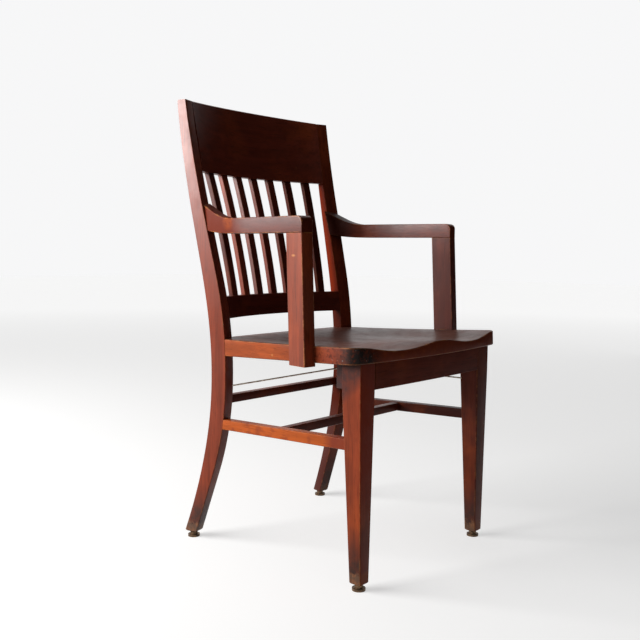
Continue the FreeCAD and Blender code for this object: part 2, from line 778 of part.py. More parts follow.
def wire_points():
    """Ends and middle of the wire from the left rear post to the right front leg."""
    rear = on_post(post_front(WIRE_REAR_Z) + POST_DEPTH_SEAT / 2, WIRE_REAR_Z, POST_W / 2)
    rear = V(-rear.x, rear.y, rear.z)
    front = V(LEG_X, LEG_Y, WIRE_FRONT_Z)
    share = -rear.x / (front.x - rear.x)
    middle = V(0, rear.y + share * (front.y - rear.y), WIRE_MIDDLE_Z)
    return rear, middle, front


def wire_line(drop, let_in=0.0):
    """Start, the three points of the bend at the middle, and end of a wire's centre line."""
    rear, middle, front = wire_points()
    middle = middle - UP * drop
    to_rear, to_front = (rear - middle).normalize(), (front - middle).normalize()
    turn = math.pi - to_rear.getAngle(to_front)
    tangent = WIRE_BEND_R * math.tan(turn / 2)
    towards = (to_rear + to_front).normalize()
    crown = middle + towards * (WIRE_BEND_R / math.cos(turn / 2) - WIRE_BEND_R)
    return [rear - to_rear * (POST_W / 2 - let_in), middle + to_rear * tangent, crown,
            middle + to_front * tangent, front - to_front * (LEG_W / 2 - let_in)]


def tie_wire(drop, grow=0.0):
    start, bend, crown, bend_end, end = wire_line(drop, WIRE_LET_IN + (END_ROOM if grow else 0.0))
    path = Part.Wire([Part.makeLine(start, bend), Part.Arc(bend, crown, bend_end).toShape(),
                      Part.makeLine(bend_end, end)])
    ring = Part.Wire(Part.makeCircle(WIRE_D / 2 + grow, start, bend - start))
    return path.makePipeShell([ring], True, False)


WIRE_DROP = WIRE_D + METAL_FIT


def tie_hook(grow=0.0):
    """Square-bend hook: a shank down from the seat and a foot under the crossing wires."""
    middle = wire_line(WIRE_DROP)[2] - UP * (WIRE_D / 2 + METAL_FIT + HOOK_FOOT_D / 2)
    behind, ahead = middle + V(0, HOOK_REACH, 0), middle - V(0, HOOK_REACH, 0)
    top = V(0, behind.y, seat_under(behind.y) + HOOK_LET_IN + (END_ROOM if grow else 0.0))
    shank = rod(behind - UP * (HOOK_D / 2), top, HOOK_D + 2 * grow)
    return shank.fuse(rod(ahead, behind, HOOK_FOOT_D))


# Glides

def glide(centre):
    """Turned metal foot: a flat disc, a neck up to the wood and a stem driven into the leg."""
    r, neck, stem = GLIDE_D / 2, GLIDE_NECK_D / 2, GLIDE_STEM_D / 2
    top = GLIDE_H + GLIDE_STEM_L
    points = [V(0, 0, 0), V(r, 0, 0), V(r, 0, GLIDE_RIM), V(neck, 0, GLIDE_RIM), V(neck, 0, GLIDE_H),
              V(stem, 0, GLIDE_H), V(stem, 0, top), V(0, 0, top)]
    shape = outline_face(points).revolve(ORIGIN, UP, 360)
    shape.translate(V(centre.x, centre.y, 0))
    return shape


def glide_hole(centre):
    start = V(centre.x, centre.y, GLIDE_H)
    return rod(start, start + UP * (GLIDE_STEM_L + END_ROOM), GLIDE_STEM_D + 2 * METAL_FIT)


def rear_foot():
    middle = (POST_W - POST_FOOT_TAPER) / 2
    return on_post((post_front(GLIDE_H) + post_rear(GLIDE_H, middle)) / 2, 0, middle)


# Screws

def screw(head, way, length):
    """A round-headed wood screw: the top of its head at a point, driven along a way."""
    way = V(way).normalize()
    shoulder = head + way * SCREW_HEAD_H
    return rod(head, shoulder, SCREW_HEAD_D).fuse(rod(shoulder, head + way * length, SCREW_D))


def screw_hole(head, way, length, mouth):
    """Hole for a screw, bored wide from the surface to the shoulder of its head."""
    way = V(way).normalize()
    shoulder = head + way * SCREW_HEAD_H
    bore = rod(shoulder, head + way * (length + END_ROOM), SCREW_D + 2 * METAL_FIT)
    return bore.fuse(rod(head - way * mouth, shoulder, SCREW_HEAD_D + 2 * METAL_FIT))


def post_screw_place(z):
    """Head of a screw driven forward through the right post at height z, and its length."""
    head = on_post(post_rear(z, POST_W / 2) - PLUG_L - METAL_FIT, z, POST_W / 2)
    return head, post_depth(z) - PLUG_L + SCREW_GRIP


def seat_screw_z():
    return seat_under(POST_FRONT_Y) + SEAT_T / 2


def post_screws():
    shapes = []
    for z in (ARM_TOP, seat_screw_z()):
        head, length = post_screw_place(z)
        shapes.append((screw(head, POST_BACK * -1, length),
                       screw_hole(head, POST_BACK * -1, length, PLUG_L * 2)))
    return shapes


def post_plugs(post):
    """Wood plugs over the screw heads, trimmed to the back of the post."""
    plugs = []
    for z in (ARM_TOP, seat_screw_z()):
        head = post_screw_place(z)[0]
        stick = rod(head + POST_BACK * METAL_FIT, head + POST_BACK * PLUG_L * 2, SCREW_HEAD_D)
        plugs.append(stick.common(post))
    return plugs


# Assembly

def seat_notch():
    """The space in the right post's front, open inwards, that the seat's rear corner goes into."""
    low, outer = SEAT_UNDER - SEAT_T, POST_W - SEAT_HOUSING_WALL
    corners = [on_post(-BIG, low, -POST_W), on_post(SEAT_HOUSING, low, -POST_W),
               on_post(SEAT_HOUSING, low, outer), on_post(-BIG, low, outer)]
    return prism(corners, UP * 3 * SEAT_T)


def seat_housing(notch):
    """What is cut out of the right post there: the seat's thickness at its rear corner."""
    corner = on_post(SEAT_HOUSING, 0)
    height = SEAT_T - seat_hollow(corner.x, corner.y) + WOOD_FIT
    return notch.common(pitched(Part.makeBox(2 * BIG, 2 * BIG, height, V(-BIG, -BIG, 0))))


def build():
    """Every piece of the chair by name, in place."""
    sharp_post, sharp_leg, seat = post_blank(), leg_blank(), seat_blank()
    post = sharp_post.makeChamfer(POST_EASE, long_edges(sharp_post, POST_W * 2)).common(post_foot_limit())

    behind = post_slab(-POST_W, POST_W * 2, POST_W)
    notch = seat_notch()
    post = post.cut(seat_housing(notch))
    beside_tongue = post_slab(0, POST_W * 2, POST_W).cut(notch)
    beside_tongue.translate((POST_BACK + POST_OUT) * -WOOD_FIT)
    seat = seat.cut(beside_tongue).cut(mirrored(beside_tongue))

    screws = post_screws()
    plugs = post_plugs(sharp_post)
    screw_holes = [hole for _, hole in screws]
    wires = {"tie_wire_1": tie_wire(0), "tie_wire_2": mirrored(tie_wire(WIRE_DROP))}
    wire_holes = [tie_wire(0, METAL_FIT), mirrored(tie_wire(WIRE_DROP, METAL_FIT))]
    dowel_holes = arm_post_dowels(WOOD_FIT)
    front_foot, back_foot = V(LEG_X, LEG_Y - LEG_FOOT_FORWARD, 0), rear_foot()

    post_sockets = [crest_tenon(WOOD_FIT), back_rail_tenon(WOOD_FIT), side_tenons(WOOD_FIT),
                    rear_rail_tenons(WOOD_FIT), glide_hole(back_foot)] + screw_holes
    leg_sockets = [apron_tenon(WOOD_FIT), side_tenons(WOOD_FIT), glide_hole(front_foot)]
    right_post = post.cut(post_sockets)
    right_leg = sharp_leg.fuse(leg_tenon()).removeSplitter().cut(leg_sockets)
    right_arm = arm_blank().cut(behind).cut([arm_tenon(WOOD_FIT)] + screw_holes)
    right_arm_post = arm_post_blank().cut(seat).fuse(arm_tenon()).cut(dowel_holes)

    pieces = {}
    pieces["rear_post_left"] = mirrored(right_post).cut(wire_holes[0])
    pieces["rear_post_right"] = right_post.cut(wire_holes[1])
    slats = [slat(place) for place in range(-SLAT_PAIRS, SLAT_PAIRS + 1)]
    slat_sockets = [slat(place, WOOD_FIT) for place in range(-SLAT_PAIRS, SLAT_PAIRS + 1)]
    pieces["crest_rail"] = crest_rail().cut(slat_sockets)
    pieces["lower_back_rail"] = lower_back_rail().cut(slat_sockets)
    for i, shape in enumerate(slats):
        pieces["back_slat_%d" % (i + 1)] = shape
    seat_sockets = [leg_tenon(WOOD_FIT)] + dowel_holes + screw_holes
    pieces["seat"] = seat.cut(seat_sockets + [mirrored(s) for s in seat_sockets] + [tie_hook(METAL_FIT)])
    pieces["front_leg_left"] = mirrored(right_leg).cut(wire_holes[1])
    pieces["front_leg_right"] = right_leg.cut(wire_holes[0])
    pieces["front_apron"] = front_apron()
    pieces["rear_rail"] = rear_rail()
    pieces["cross_stretcher"] = cross_stretcher()
    sides = {"leg_block": leg_block(), "side_stretcher": side_stretcher(sharp_leg, behind),
             "arm": right_arm, "arm_post": right_arm_post, "glide_front": glide(front_foot),
             "glide_rear": glide(back_foot)}
    for name, shape in sides.items():
        pieces[name + "_left"] = mirrored(shape)
        pieces[name + "_right"] = shape
    pieces.update(wires)
    pieces["tie_hook"] = tie_hook()
    groups = {"arm_screws": [screws[0][0]], "seat_screws": [screws[1][0]], "screw_plugs": plugs,
              "arm_post_dowels": arm_post_dowels()}
    for name, shapes in groups.items():
        pieces[name] = Part.makeCompound(shapes + [mirrored(s) for s in shapes])
    return pieces


def centred(pieces):
    """The pieces moved along the chair until the middle of its plan is over the origin."""
    boxes = [shape.optimalBoundingBox(False) for shape in pieces.values()]
    middle_y = (min(box.YMin for box in boxes) + max(box.YMax for box in boxes)) / 2
    for shape in pieces.values():
        shape.translate(V(0, -middle_y, 0))
    return pieces


os.makedirs("parts", exist_ok=True)
for name, shape in centred(build()).items():
    shape.exportStep("parts/%s.step" % name)
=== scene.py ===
"""Looks of the wooden library armchair: worn mahogany stain, dull metal and a plain studio.

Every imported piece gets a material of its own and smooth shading. Nothing is added to the chair.
"""
import bpy
import math
from mathutils import Matrix, Vector

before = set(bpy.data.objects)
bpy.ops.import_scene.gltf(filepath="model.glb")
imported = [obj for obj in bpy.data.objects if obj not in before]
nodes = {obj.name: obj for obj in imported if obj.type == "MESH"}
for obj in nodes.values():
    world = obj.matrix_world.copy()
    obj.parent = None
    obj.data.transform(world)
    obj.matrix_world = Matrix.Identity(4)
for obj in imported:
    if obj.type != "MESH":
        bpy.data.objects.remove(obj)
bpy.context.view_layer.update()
scene = bpy.context.scene
scene.view_settings.view_transform = "Standard"


def shade(colour, gain=1.0):
    """A colour made darker or lighter, with its alpha."""
    return tuple(channel * gain for channel in colour) + (1,)


def between(first, second, share):
    return tuple(a + (b - a) * share for a, b in zip(first, second))


# Colours of the stain, of what has worn or dirtied it, and of painted shade and light
STAIN = (0.245, 0.040, 0.018)
THIN_STAIN = (0.560, 0.112, 0.020)
# Deep red for single sides, painted partly for the light they get
DEEP_RED = (0.178, 0.014, 0.001)
SEAT_TOP = (0.100, 0.036, 0.024)
BARE_WOOD = (0.600, 0.230, 0.070)
# Grey of the seat's painted shadow on the front left leg and its block
SEAT_SHADOW_GREY = (0.040, 0.020, 0.019)
SCUFF = (0.190, 0.105, 0.066)
TAN = (0.250, 0.110, 0.055)
DARK_DIRT = (0.020, 0.013, 0.011)
SPECK = (0.520, 0.470, 0.430)

# How each piece differs: share of thin stain, gain of the stain, gloss and rubbed edges. Low
# gains are partly painted shade, for pieces that stand in shade.
USUAL = (0.10, 1.0, 0.25, 0.6)
PIECES = {
    "rear_post_left": (0.10, 1.0, 0.58, 0.4),
    "rear_post_right": (0.12, 0.8, 0.03, 0.3),
    "crest_rail": (0.0, 0.85, 0.22, 0.0),
    "lower_back_rail": (0.0, 0.60, 0.12, 0.0),
    # Back slats: one wood, with gains set slat by slat for how bright each looks in the light;
    # the low gains are painted shade
    "back_slat_1": (0.0, 0.50, 0.25, 0.3),
    "back_slat_2": (0.10, 0.95, 0.25, 0.3),
    "back_slat_3": (0.0, 0.60, 0.32, 0.3),
    "back_slat_4": (0.0, 0.75, 0.20, 0.3),
    "back_slat_5": (0.0, 0.55, 0.12, 0.3),
    "back_slat_6": (0.0, 0.45, 0.05, 0.3),
    "back_slat_7": (0.0, 0.40, 0.05, 0.3),
    "seat": (0.62, 0.84, 0.12, 0.9),
    # Side stretchers: the left one's orange is partly wear and partly painted light from the
    # window; the right one's low gain is painted shade
    "side_stretcher_left": (0.95, 0.88, 0.10, 0.4),
    "side_stretcher_right": (0.0, 0.30, 0.10, 0.3),
    "cross_stretcher": (0.0, 0.55, 0.14, 0.3),
    "rear_rail": (0.0, 0.55, 0.12, 0.3),
    "front_leg_left": (0.15, 1.0, 0.11, 0.5),
    "front_leg_right": (0.05, 0.65, 0.12, 0.5),
    "front_apron": (0.0, 0.85, 0.06, 0.3),
    "leg_block_left": (0.0, 0.8, 0.16, 0.5),
    "leg_block_right": (0.0, 0.8, 0.16, 0.5),
    "arm_post_left": (0.20, 0.92, 0.25, 1.0),
    "arm_post_right": (0.0, 0.60, 0.35, 0.8),
    # The left arm's high rubbed-edge amount is partly a painted highlight along its eased top
    # edge
    "arm_left": (0.0, 0.55, 0.38, 1.3),
    "arm_right": (0.0, 0.80, 0.68, 0.6),
}

# Which way the grain runs, upright where nothing is said, and how that turns the pattern
ALONG_X = ("crest_rail", "lower_back_rail", "rear_rail", "cross_stretcher", "front_apron",
           "arm_post_dowels")
ALONG_Y = ("seat", "side_stretcher", "arm_left", "arm_right", "screw_plugs")
GRAIN_TURN = {"x": (0, 0, 0), "y": (0, 0, math.radians(-90)), "z": (0, math.radians(90), 0)}
GRAIN_STRETCH = (0.05, 1, 1)
SEED_SHIFT = (0.37, 0.71, 0.13)

# Metals: bright colour, tarnished colour and roughness where bright
SCREW_STEEL = ((0.50, 0.48, 0.45), (0.20, 0.18, 0.16), 0.35)
METALS = {
    "glide": ((0.210, 0.130, 0.075), (0.055, 0.036, 0.026), 0.42),
    "tie": ((0.50, 0.44, 0.36), (0.200, 0.130, 0.080), 0.40),
    "arm_screws": SCREW_STEEL,
    "seat_screws": SCREW_STEEL,
}

# Noises: waves in a metre, detail and roughness
FIBRE = (420, 5, 0.65)
STREAK = (70, 3, 0.6)
CLOUD = (9, 3, 0.6)
WEAR = (46, 5, 0.7)
BLOT = (30, 3, 0.6)
FOOT_PATCH = (90, 3, 0.6)
PIT = (150, 4, 0.7)
SEAT_SPECK = (210, 3, 0.6)
METAL_SPOT = (160, 5, 0.7)

# The names in capitals below that hold two or four numbers are ranges for Looks.span: a value
# that goes from the first number to the second goes from the third to the fourth, or from 0 to 1.

# What the materials share: sockets of a colour mix, axes, rays for each point, the part of a
# spot that is full, the turn of the normal over an edge, and faces that look against an axis
MIX_AMOUNT, MIX_FIRST, MIX_SECOND, MIX_RESULT = 0, 6, 7, 2
X_AXIS, Y_AXIS, Z_AXIS = 0, 1, 2
SHAPE_SAMPLES = 6
SPOT_CORE = 0.35
EDGE_TURN = (0.995, 0.90)
AGAINST_AXIS = (-0.5, -0.9)


class Looks:
    """One material, with short ways to add and join its nodes."""

    def __init__(self, name):
        self.material = bpy.data.materials.new(name)
        self.material.use_nodes = True
        self.tree = self.material.node_tree
        self.tree.nodes.clear()
        output = self.tree.nodes.new("ShaderNodeOutputMaterial")
        self.shader = self.tree.nodes.new("ShaderNodeBsdfPrincipled")
        self.tree.links.new(self.shader.outputs[0], output.inputs["Surface"])

    def put(self, socket, value):
        if isinstance(value, bpy.types.NodeSocket):
            self.tree.links.new(value, socket)
        else:
            socket.default_value = value

    def add(self, kind, values, **settings):
        node = self.tree.nodes.new(kind)
        for key, value in settings.items():
            setattr(node, key, value)
        for key, value in values.items():
            self.put(node.inputs[key], value)
        return node

    def set(self, name, value):
        self.put(self.shader.inputs[name], value)

    def mix(self, amount, first, second):
        values = {MIX_AMOUNT: amount, MIX_FIRST: first, MIX_SECOND: second}
        return self.add("ShaderNodeMix", values, data_type="RGBA").outputs[MIX_RESULT]

    def span(self, source, low, high, start=0.0, end=1.0):
        """A value brought from one range to another and held there."""
        values = {"Value": source, "From Min": low, "From Max": high,
                  "To Min": start, "To Max": end}
        return self.add("ShaderNodeMapRange", values).outputs[0]

    def math(self, operation, first, second):
        return self.add("ShaderNodeMath", {0: first, 1: second}, operation=operation).outputs[0]

    def times(self, first, second):
        return self.math("MULTIPLY", first, second)

    def noise(self, place, scale, detail, roughness):
        values = {"Vector": place, "Scale": scale, "Detail": detail, "Roughness": roughness}
        return self.add("ShaderNodeTexNoise", values).outputs[0]

    def place(self):
        """Where a point lies in the part's frame."""
        return self.add("ShaderNodeTexCoord", {}).outputs["Object"]

    def parts_of(self, vector):
        return self.add("ShaderNodeSeparateXYZ", {"Vector": vector}).outputs

    def facing(self, axis, *limits):
        """How far the surface faces along an axis, brought to a range."""
        normal = self.add("ShaderNodeNewGeometry", {}).outputs["Normal"]
        return self.span(self.parts_of(normal)[axis], *limits)

    def near(self, place, centre, reach):
        """One at a point, falling to nought at a distance from it."""
        offset = self.add("ShaderNodeVectorMath", {0: place, 1: centre}, operation="DISTANCE")
        return self.span(offset.outputs["Value"], reach, reach * SPOT_CORE)

    def edges(self, width):
        """One where the surface turns over an edge."""
        rounded = self.add("ShaderNodeBevel", {"Radius": width}, samples=SHAPE_SAMPLES).outputs[0]
        flat = self.add("ShaderNodeNewGeometry", {}).outputs["True Normal"]
        agree = self.add("ShaderNodeVectorMath", {0: rounded, 1: flat}, operation="DOT_PRODUCT")
        return self.span(agree.outputs["Value"], *EDGE_TURN)

    def bump(self, height, strength, depth):
        values = {"Strength": strength, "Distance": depth, "Height": height}
        self.set("Normal", self.add("ShaderNodeBump", values).outputs[0])


# Bare stain: streaks from dark to pale, dark and thin clouds, and pores
STREAKS = (0.30, 0.70)
STREAK_DARK = 0.62
STREAK_PALE = 1.12
DARK_CLOUDS = (0.45, 0.72, 0, 0.45)
DARK_CLOUD_GAIN = 0.55
THIN_CLOUDS = (0.48, 0.25, 0, 0.40)
THIN_CLOUD_SHARE = 0.6
THIN_CLOUD_GAIN = 1.05
PORES = (0.46, 0.34, 0, 0.55)
PORE_GAIN = 0.30

# Rubbed edges, chips, and corners darkened by dirt and painted shade
EDGE_WIDTH = 0.0026
RUBBED_AREAS = (0.44, 0.62)
RUBBED_COLOUR = shade(BARE_WOOD)
CHIP_SCALE = 23
CHIP_SIZE = (0.075, 0.045)
CHIP_PICK = (0.86, 0.88)
CHIP_AMOUNT = 0.55
CHIP_COLOUR = shade(BARE_WOOD, 0.9)
CORNER_REACH = 0.016
CORNER_SHADE_AND_DIRT = (0.75, 0.35, 0, 0.6)
# Colour of the dirt and painted shade in corners
CORNER_COLOUR = shade(STAIN, 0.16)

# Feet, by height over the floor and by patches
GRIME_HEIGHT = (0.125, 0.050)
GRIME_AREAS = (0.30, 0.62, 0.50, 0.95)
GRIME_COLOUR = shade(DARK_DIRT, 1.6)
# Painted light on front faces at the foot: a redder colour than the sides, with red scuffs
PAINTED_FRONT_HEIGHT = (0.125, 0.050, 0, 0.90)
PAINTED_FRONT_RED = shade(STAIN)
SCUFF_RAGGED = (0.3, 0.7, -0.008, 0.008)
SCUFF_HEIGHT = (0.036, 0.029)
SCUFF_FIBRES = (0.30, 0.60, 0.35, 0.95)
SCUFF_AREAS = (0.44, 0.58)
SCUFF_GREY = shade(SCUFF, 0.75)
SCUFF_TAN = shade(TAN)
SCUFF_RED = shade(THIN_STAIN, 0.55)

# Surface
ROUGH_CLOUDS = (0.3, 0.7, 0.30, 0.42)
ROUGH_WEAR = (0.45, 0.75, 0, 0.12)
BUMP_FIBRES = (0.3, 0.7)
BUMP_STRENGTH = 0.12
BUMP_DEPTH = 0.0005


class Wood(Looks):
    """Stained wood with its grain along one axis."""

    def __init__(self, name, axis, seed, thin, gain):
        super().__init__(name)
        stain = tuple(channel * gain for channel in between(STAIN, THIN_STAIN, thin))
        self.at = self.place()
        self.x, self.y, self.z = self.parts_of(self.at)
        turn = {"Vector": self.at, "Rotation": GRAIN_TURN[axis],
                "Location": tuple(seed * shift for shift in SEED_SHIFT)}
        turned = self.add("ShaderNodeMapping", turn).outputs[0]
        stretch = {"Vector": turned, "Scale": GRAIN_STRETCH}
        along = self.add("ShaderNodeMapping", stretch).outputs[0]
        self.fibre = self.noise(along, *FIBRE)
        streak = self.noise(along, *STREAK)
        self.cloud = self.noise(turned, *CLOUD)
        self.wear = self.noise(turned, *WEAR)
        self.colour = self.mix(self.span(streak, *STREAKS),
                               shade(stain, STREAK_DARK), shade(stain, STREAK_PALE))
        self.cover(self.span(self.cloud, *DARK_CLOUDS), shade(stain, DARK_CLOUD_GAIN))
        thinner = between(stain, THIN_STAIN, THIN_CLOUD_SHARE)
        self.cover(self.span(self.cloud, *THIN_CLOUDS), shade(thinner, THIN_CLOUD_GAIN))
        self.cover(self.span(self.fibre, *PORES), shade(stain, PORE_GAIN))

    def cover(self, amount, colour):
        self.colour = self.mix(amount, self.colour, colour)

    def rub_edges(self, amount):
        """Edges rubbed through to paler wood in patches."""
        patchy = self.span(self.wear, *RUBBED_AREAS, 0, amount)
        self.cover(self.times(self.edges(EDGE_WIDTH), patchy), RUBBED_COLOUR)

    def nicks(self):
        """A few small chips in the finish."""
        cells = self.add("ShaderNodeTexVoronoi", {"Vector": self.at, "Scale": CHIP_SCALE}).outputs
        chip = self.span(cells["Distance"], *CHIP_SIZE)
        pick = self.span(self.parts_of(cells["Color"])[0], *CHIP_PICK)
        self.cover(self.times(chip, self.times(pick, CHIP_AMOUNT)), CHIP_COLOUR)

    def corners(self):
        """Darker where pieces meet and in hollows: painted shade from ambient occlusion, with
        dirt.
        """
        open_sky = self.add("ShaderNodeAmbientOcclusion", {"Distance": CORNER_REACH},
                            samples=SHAPE_SAMPLES).outputs["AO"]
        self.cover(self.span(open_sky, *CORNER_SHADE_AND_DIRT), CORNER_COLOUR)

    def foot(self, painted_red_front):
        """Grime above the foot and patchy scuffs at its end; if asked, the front faces are
        painted redder than the sides for the light they get.
        """
        grime = self.times(self.span(self.z, *GRIME_HEIGHT), self.span(self.wear, *GRIME_AREAS))
        self.cover(grime, GRIME_COLOUR)
        patches = self.span(self.noise(self.at, *FOOT_PATCH), *SCUFF_AREAS)
        bare = self.mix(patches, SCUFF_GREY, SCUFF_TAN)
        if painted_red_front:
            # Painted light: front faces redder than the sides
            front = self.facing(Y_AXIS, *AGAINST_AXIS)
            self.cover(self.times(front, self.span(self.z, *PAINTED_FRONT_HEIGHT)), PAINTED_FRONT_RED)
            bare = self.mix(front, bare, SCUFF_RED)
        ragged = self.math("ADD", self.z, self.span(self.wear, *SCUFF_RAGGED))
        scuff = self.times(self.span(ragged, *SCUFF_HEIGHT), self.span(self.fibre, *SCUFF_FIBRES))
        self.cover(scuff, bare)

    def finish(self, gloss):
        self.set("Base Color", self.colour)
        dull = self.span(self.cloud, *ROUGH_CLOUDS)
        self.set("Roughness", self.math("ADD", dull, self.span(self.wear, *ROUGH_WEAR)))
        self.set("Specular IOR Level", gloss)
        self.bump(self.span(self.fibre, *BUMP_FIBRES), BUMP_STRENGTH, BUMP_DEPTH)
        return self.material


# Looks of single pieces. Each function paints its piece and gives back the gloss.

STRETCHER_FRONT = (-0.155, -0.178)
STRETCHER_BACK = (0.10, 0.17, 0, 0.5)
STRETCHER_END_AMOUNT = 0.9
STRETCHER_BLOTS = (0.52, 0.66, 0, 0.6)
STRETCHER_DARK = shade(STAIN, 0.8)


def left_stretcher(looks, gloss):
    """Orange, from worn stain and from painted light, but for the darker ends and some blots."""
    ends = looks.math("MAXIMUM", looks.span(looks.y, *STRETCHER_FRONT),
                      looks.span(looks.y, *STRETCHER_BACK))
    looks.cover(looks.times(ends, STRETCHER_END_AMOUNT), STRETCHER_DARK)
    looks.cover(looks.span(looks.noise(looks.at, *BLOT), *STRETCHER_BLOTS), STRETCHER_DARK)
    return gloss


ARM_BACK_GLOSS = 0.06
ARM_END_DULL = (*AGAINST_AXIS, 1.0, 0.1)
LEFT_ARM_DULL = (0.025, 0.070)
LEFT_ARM_BACK = (0.03, 0.07, 0, 0.9)
LEFT_ARM_BACK_COLOUR = shade(STAIN, 0.66)
LEFT_ARM_PATCH_AT = (-0.2201, 0.0792, 0.6567)
LEFT_ARM_PATCH_REACH = 0.022
LEFT_ARM_PATCH_AREAS = (0.40, 0.60, 0.15, 0.85)
LEFT_ARM_PATCH_COLOUR = shade(THIN_STAIN, 0.65)
RIGHT_ARM_DULL = (-0.03, 0.08)
# Painted shadow on the right arm's back end, near the post
RIGHT_ARM_SHADOWED_BACK = (0.06, 0.12, 0, 0.95)
RIGHT_ARM_SHADOW_COLOUR = shade(STAIN, 0.15)


def arm_gloss(looks, gloss, dull):
    """Gloss that fades towards the post and on the front end."""
    fading = looks.span(looks.y, *dull, gloss, ARM_BACK_GLOSS)
    return looks.times(fading, looks.facing(Y_AXIS, *ARM_END_DULL))


def left_arm(looks, gloss):
    """Darker behind, with a rubbed place."""
    looks.cover(looks.span(looks.y, *LEFT_ARM_BACK), LEFT_ARM_BACK_COLOUR)
    patch = looks.near(looks.at, LEFT_ARM_PATCH_AT, LEFT_ARM_PATCH_REACH)
    patchy = looks.span(looks.wear, *LEFT_ARM_PATCH_AREAS)
    looks.cover(looks.times(patch, patchy), LEFT_ARM_PATCH_COLOUR)
    return arm_gloss(looks, gloss, LEFT_ARM_DULL)


def right_arm(looks, gloss):
    """A painted shadow behind, nearly black, where the arm meets the post."""
    looks.cover(looks.span(looks.y, *RIGHT_ARM_SHADOWED_BACK), RIGHT_ARM_SHADOW_COLOUR)
    return arm_gloss(looks, gloss, RIGHT_ARM_DULL)


LEFT_POST_SHINE = (0.45, 0.75)
LEFT_POST_LOW_GLOSS = 0.20
# Right post's inner side: deep red, partly thin stain and partly painted bounced light; painted
# shade lower down
RIGHT_POST_INNER = (*AGAINST_AXIS, 0, 0.85)
RIGHT_POST_INNER_RED_AND_LIGHT = shade(DEEP_RED)
RIGHT_POST_SHADED_LOW = (0.50, 0.47)
RIGHT_POST_SHADE_COLOUR = shade(STAIN, 0.2)
RIGHT_POST_SHINE = (0.25, 0.18)
RIGHT_POST_LOW_GLOSS = 0.16


def left_post(looks, gloss):
    """Glossier upwards."""
    return looks.span(looks.z, *LEFT_POST_SHINE, LEFT_POST_LOW_GLOSS, gloss)


def right_post(looks, gloss):
    """Deep red on the inner side, partly painted bounced light, and painted shade lower down on
    that side, with a little shine at the foot.
    """
    inner = looks.facing(X_AXIS, *RIGHT_POST_INNER)
    looks.cover(inner, RIGHT_POST_INNER_RED_AND_LIGHT)
    low = looks.span(looks.z, *RIGHT_POST_SHADED_LOW)
    looks.cover(looks.times(inner, low), RIGHT_POST_SHADE_COLOUR)
    return looks.span(looks.z, *RIGHT_POST_SHINE, gloss, RIGHT_POST_LOW_GLOSS)


SCRATCH_STRETCH = (1, 0.4, 1)
SCRATCH_AT = (-0.2484, -0.0474, 0.5906)
SCRATCH_REACH = 0.0028
SCRATCH_AMOUNT = 0.75
SCRATCH_COLOUR = shade(BARE_WOOD)


def left_arm_post(looks, gloss):
    """One pale scratch, long from front to back. Its centre is given in the stretched place."""
    stretch = {"Vector": looks.at, "Scale": SCRATCH_STRETCH}
    stretched = looks.add("ShaderNodeMapping", stretch).outputs[0]
    scratch = looks.near(stretched, SCRATCH_AT, SCRATCH_REACH)
    looks.cover(looks.times(scratch, SCRATCH_AMOUNT), SCRATCH_COLOUR)
    return gloss


# Painted light: the left front leg's front face gets a deeper red than its sides
LEG_FRONT = (*AGAINST_AXIS, 0, 0.75)
LEG_FRONT_HEIGHT = (0.12, 0.22)
LEG_FRONT_PAINTED_RED = shade(DEEP_RED, 1.7)


def left_leg(looks, gloss):
    """A deep red front, painted for the light that side gets."""
    front = looks.times(looks.facing(Y_AXIS, *LEG_FRONT), looks.span(looks.z, *LEG_FRONT_HEIGHT))
    looks.cover(front, LEG_FRONT_PAINTED_RED)
    return gloss


# The seat's painted shadow on the front left leg and its block, above a leaning line
SEAT_SHADOW_LEAN = 0.9
SEAT_SHADOW_HEIGHT = (0.140, 0.165)
SEAT_SHADOW_AREAS = (0.35, 0.6, 0.5, 0.9)
SEAT_SHADOW_SIDE = (*AGAINST_AXIS, 1.0, 0.25)
SEAT_SHADOW_COLOUR = shade(SEAT_SHADOW_GREY)


def paint_seat_shadow(looks):
    """A painted shadow of the seat: grey and mottled above a leaning line, hardly on the front.
    """
    leaning = looks.math("ADD", looks.z, looks.times(looks.y, SEAT_SHADOW_LEAN))
    amount = looks.times(looks.span(leaning, *SEAT_SHADOW_HEIGHT), looks.span(looks.wear, *SEAT_SHADOW_AREAS))
    looks.cover(looks.times(amount, looks.facing(Y_AXIS, *SEAT_SHADOW_SIDE)), SEAT_SHADOW_COLOUR)


FOOTED = ("rear_post", "front_leg")
# Legs whose front faces at the foot are painted redder for the light they get
PAINTED_RED_FRONTS = "front_leg"
# Pieces that get the seat's painted shadow
IN_SEAT_SHADOW = ("front_leg_left", "leg_block_left")
OWN_LOOKS = {
    "side_stretcher_left": left_stretcher,
    "arm_left": left_arm,
    "arm_right": right_arm,
    "rear_post_left": left_post,
    "rear_post_right": right_post,
    "arm_post_left": left_arm_post,
    "front_leg_left": left_leg,
}


def frame_wood(name, axis, seed):
    thin, gain, gloss, rubbed = PIECES.get(name, USUAL)
    looks = Wood(name, axis, seed, thin, gain)
    if name.startswith(FOOTED):
        looks.foot(name.startswith(PAINTED_RED_FRONTS))
    if name in OWN_LOOKS:
        gloss = OWN_LOOKS[name](looks, gloss)
    looks.rub_edges(rubbed)
    # The seat's painted shadow
    if name in IN_SEAT_SHADOW:
        paint_seat_shadow(looks)
    # Dirt and painted shade where pieces meet
    looks.corners()
    looks.nicks()
    return looks.finish(gloss)


